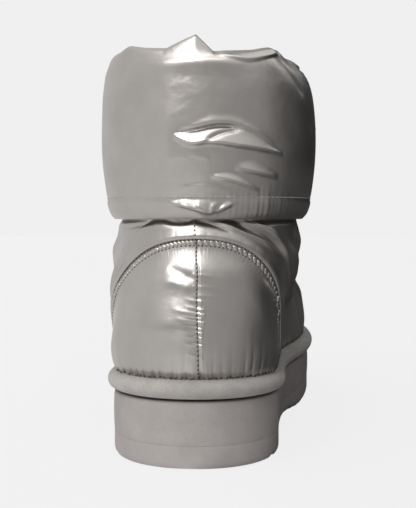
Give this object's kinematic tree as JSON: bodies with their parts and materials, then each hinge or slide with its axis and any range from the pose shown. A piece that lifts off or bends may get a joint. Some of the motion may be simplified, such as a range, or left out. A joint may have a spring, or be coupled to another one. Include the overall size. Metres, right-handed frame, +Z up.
{
  "type": "winter boot",
  "caption": "Padded ankle-high winter boot with a folded puffy cuff, padded heel counter, suede rand and thick flatform sole, for a left foot.",
  "frame": {"origin": "middle of the boot's box in plan, on the floor that the sole stands on", "axes": "+Y from heel to toe, +X to the inner side of the foot, +Z up"},
  "size_m": [0.104, 0.2678, 0.1839],
  "materials": {
    "shell": "silver metallic coated nylon, glossy",
    "suede": "warm grey suede, matt nap",
    "foam": "taupe moulded foam, matt",
    "tread": "taupe moulded rubber, matt",
    "lining": "grey short-pile fleece"
  },
  "bodies": {
    "root": {"outsole": "tread", "midsole": "foam", "rand": "suede", "upper": "shell", "counter_lateral": "shell", "counter_medial": "shell", "cuff": "shell", "insole": "lining"}
  },
  "joints": []
}
